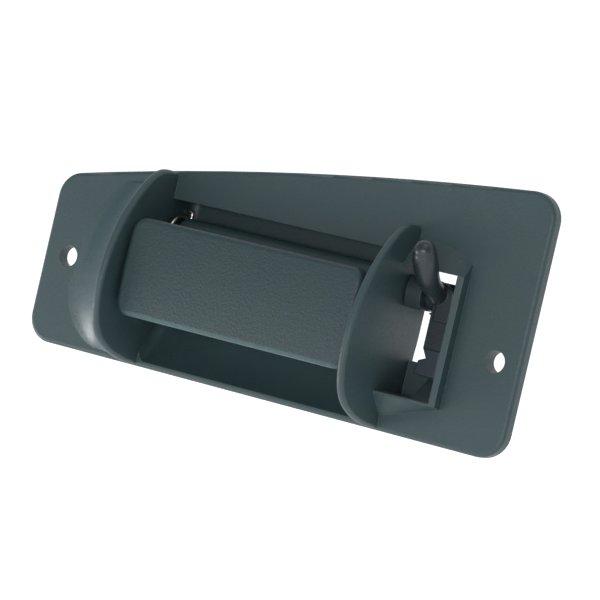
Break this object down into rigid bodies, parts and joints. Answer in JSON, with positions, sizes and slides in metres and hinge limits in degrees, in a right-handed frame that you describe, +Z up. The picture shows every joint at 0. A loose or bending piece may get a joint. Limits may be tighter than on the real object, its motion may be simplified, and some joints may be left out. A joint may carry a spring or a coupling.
{
  "type": "car door handle",
  "caption": "Tapered escutcheon plate with a sprung pull bar between two guard fins and a release hook in a window.",
  "frame": {"origin": "midway between the two screw holes, on the back plane of the plate that sits against the door", "axes": "+X along the plate from its low end to its tall end, -Y out of the plate's face towards the hand, +Z up across the plate"},
  "size_m": [0.1684, 0.0537, 0.0774],
  "materials": {
    "grained_plastic": "fine moulded grain, charcoal with a slight blue-green cast",
    "grip_plastic": "coarser leather grain, charcoal",
    "smooth_plastic": "smooth moulded, satin",
    "hook_plastic": "smooth, semi-gloss",
    "nylon": "smooth nylon",
    "clip_nylon": "natural nylon",
    "plated_steel": "yellow zinc plated",
    "spring_steel": "bright spring wire",
    "rubber": "matt black rubber"
  },
  "bodies": {
    "housing": {"bezel_housing": "grained_plastic", "left_bush": "nylon", "right_bush": "nylon", "pivot_pin": "plated_steel", "pin_clip": "spring_steel", "return_spring": "spring_steel", "stop_bumpers": "rubber", "hook_spring": "spring_steel", "hook_washer_left": "nylon", "hook_washer_right": "nylon"},
    "handle": {"grip_cover": "grip_plastic", "handle_carrier": "grip_plastic", "latch_crank": "smooth_plastic", "latch_rod_clip": "clip_nylon"},
    "hook": {"release_hook": "hook_plastic", "hook_rod_clip": "smooth_plastic"}
  },
  "joints": [
    {"name": "handle_pull", "type": "hinge", "parent": "housing", "child": "handle", "pos_m": [0, 0, 0.014], "axis": [-1, 0, 0], "range_deg": [0, 30], "stiffness_Nm_per_rad": 0.12, "springref_deg": -20.05, "deforming": ["return_spring"]},
    {"name": "hook_swing", "type": "hinge", "parent": "housing", "child": "hook", "pos_m": [0.0533, 0, 0.014], "axis": [1, 0, 0], "range_deg": [0, 14], "stiffness_Nm_per_rad": 0.02, "springref_deg": -22.92, "deforming": ["hook_spring"]}
  ]
}
